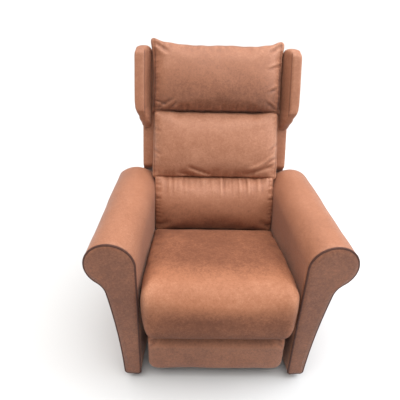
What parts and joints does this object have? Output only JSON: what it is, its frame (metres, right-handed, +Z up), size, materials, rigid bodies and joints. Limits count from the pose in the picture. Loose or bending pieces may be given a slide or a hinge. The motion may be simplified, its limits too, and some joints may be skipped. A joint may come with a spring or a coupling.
{
  "type": "recliner armchair",
  "caption": "Wing-back leather recliner with scroll arms, a waterfall back and a fold-out footrest on lazy tongs.",
  "frame": {"origin": "on the floor under the middle of the chair's box", "axes": "+Z up, the sitter faces -Y, the sitter's left hand is at +X"},
  "size_m": [0.9006, 0.8744, 1.1],
  "materials": {
    "upholstery": "pull-up aniline leather",
    "cushion": "leather cover over foam",
    "piping": "dark leather welt",
    "timber": "sawn birch",
    "painted_steel": "black powder coat",
    "zinc_steel": "bright zinc",
    "spring_wire": "oiled spring steel",
    "black_nylon": "moulded nylon"
  },
  "bodies": {
    "base": {"left_arm_cover": "upholstery", "right_arm_cover": "upholstery", "left_arm_front_panel": "upholstery", "right_arm_front_panel": "upholstery", "left_arm_piping": "piping", "right_arm_piping": "piping", "arm_frames": "timber", "arm_bolts": "zinc_steel", "floor_glides": "black_nylon", "base_end_plates": "painted_steel", "base_cross_tubes": "painted_steel", "glide_rails": "painted_steel", "rear_apron": "upholstery"},
    "seat": {"left_seat_plate": "painted_steel", "right_seat_plate": "painted_steel", "seat_bolts": "zinc_steel", "seat_front_rail": "timber", "seat_rear_rail": "timber", "seat_side_rails": "timber", "seat_springs": "spring_wire", "seat_cushion": "cushion", "glide_shoes": "black_nylon", "recline_pins": "zinc_steel"},
    "back": {"back_brackets": "painted_steel", "back_stiles": "timber", "bracket_bolts": "zinc_steel", "back_cross_rails": "timber", "back_springs": "spring_wire", "wing_boards": "timber", "back_outer_cover": "upholstery", "low_back_cushion": "cushion", "middle_back_cushion": "cushion", "head_cushion": "cushion", "left_back_side_panel": "upholstery", "right_back_side_panel": "upholstery", "left_wing": "upholstery", "right_wing": "upholstery"},
    "drive_links": {"left_drive_link": "painted_steel", "right_drive_link": "painted_steel", "torque_shaft": "zinc_steel", "drive_rivets": "zinc_steel"},
    "cam_links": {"left_cam_link": "painted_steel", "right_cam_link": "painted_steel", "cam_pins": "zinc_steel"},
    "cross_links": {"left_cross_link": "painted_steel", "right_cross_link": "painted_steel", "cross_rivets": "zinc_steel"},
    "lift_links": {"left_lift_link": "painted_steel", "right_lift_link": "painted_steel", "lift_rivets": "zinc_steel"},
    "footrest": {"left_footrest_arm": "painted_steel", "right_footrest_arm": "painted_steel", "footrest_brackets": "painted_steel", "footrest_screws": "zinc_steel", "footrest_board": "timber", "footrest_pad": "cushion"},
    "stay_links": {"left_stay_link": "painted_steel", "right_stay_link": "painted_steel", "stay_rivets": "zinc_steel"}
  },
  "joints": [
    {"name": "seat_glide", "type": "slide", "parent": "base", "child": "seat", "axis": [0, -1, 0], "range_m": [0, 0.0601]},
    {"name": "back_recline", "type": "hinge", "parent": "seat", "child": "back", "pos_m": [0, 0.118, 0.33], "axis": [-1, 0, 0], "range_deg": [0, 35]},
    {"name": "footrest_lift", "type": "hinge", "parent": "seat", "child": "drive_links", "pos_m": [0, -0.266, 0.062], "axis": [1, 0, 0], "range_deg": [0, 44]},
    {"name": "cam_link_pivot", "type": "hinge", "parent": "drive_links", "child": "cam_links", "pos_m": [0, -0.26465, 0.13949], "axis": [1, 0, 0], "range_deg": [-126.2, 0]},
    {"name": "cross_link_pivot", "type": "hinge", "parent": "drive_links", "child": "cross_links", "pos_m": [0, -0.2633, 0.21698], "axis": [1, 0, 0], "range_deg": [-126.2, 0]},
    {"name": "lift_link_pivot", "type": "hinge", "parent": "cross_links", "child": "lift_links", "pos_m": [0, -0.28335, 0.14212], "axis": [1, 0, 0], "range_deg": [0, 126.2]},
    {"name": "footrest_arm_pivot", "type": "hinge", "parent": "lift_links", "child": "footrest", "pos_m": [0, -0.282, 0.2196], "axis": [1, 0, 0], "range_deg": [-126.2, 0]},
    {"name": "stay_link_pivot", "type": "hinge", "parent": "cross_links", "child": "stay_links", "pos_m": [0, -0.30341, 0.06726], "axis": [1, 0, 0], "range_deg": [0, 126.2]}
  ],
  "couplings": [
    {"joint": "seat_glide", "follows": "back_recline", "m_per_rad": 0.098221},
    {"joint": "cam_link_pivot", "follows": "footrest_lift", "ratio": -2.8636},
    {"joint": "cross_link_pivot", "follows": "footrest_lift", "ratio": -2.8636},
    {"joint": "lift_link_pivot", "follows": "footrest_lift", "ratio": 2.8636},
    {"joint": "footrest_arm_pivot", "follows": "footrest_lift", "ratio": -2.8636},
    {"joint": "stay_link_pivot", "follows": "footrest_lift", "ratio": 2.8636}
  ]
}
